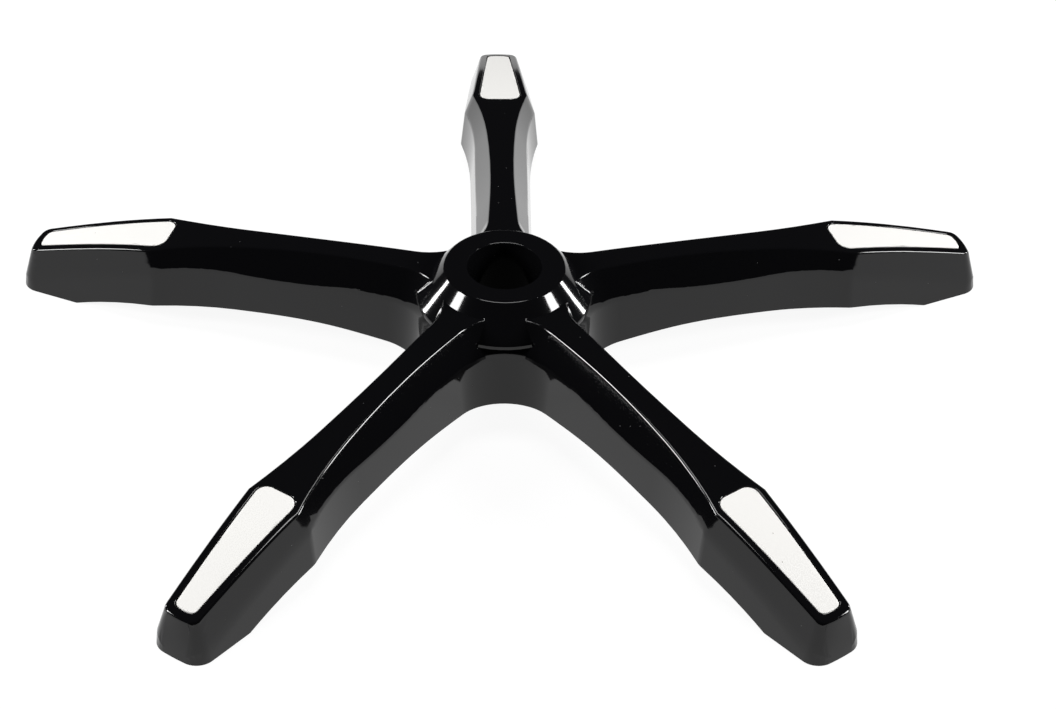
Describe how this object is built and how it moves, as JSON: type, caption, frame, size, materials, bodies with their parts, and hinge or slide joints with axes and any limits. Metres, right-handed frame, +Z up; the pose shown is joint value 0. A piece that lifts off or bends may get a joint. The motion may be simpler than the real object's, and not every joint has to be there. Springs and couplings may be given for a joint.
{
  "type": "office chair base",
  "caption": "Glossy black star base of an office chair, with a ringed hub for the gas lift, tapering arms and an off-white plate let into the end of each arm.",
  "frame": {"origin": "on the hub's axis, in the plane of the pods' level feet and of the sleeve's lower end", "axes": "+Z up along the hub's bore, +Y along the arm that points away from the camera"},
  "size_m": [0.6666, 0.6354, 0.0876],
  "materials": {
    "casting": "gloss",
    "insert": "matte"
  },
  "bodies": {
    "root": {"star_base": "casting", "insert_1": "insert", "insert_2": "insert", "insert_3": "insert", "insert_4": "insert", "insert_5": "insert"}
  },
  "joints": []
}
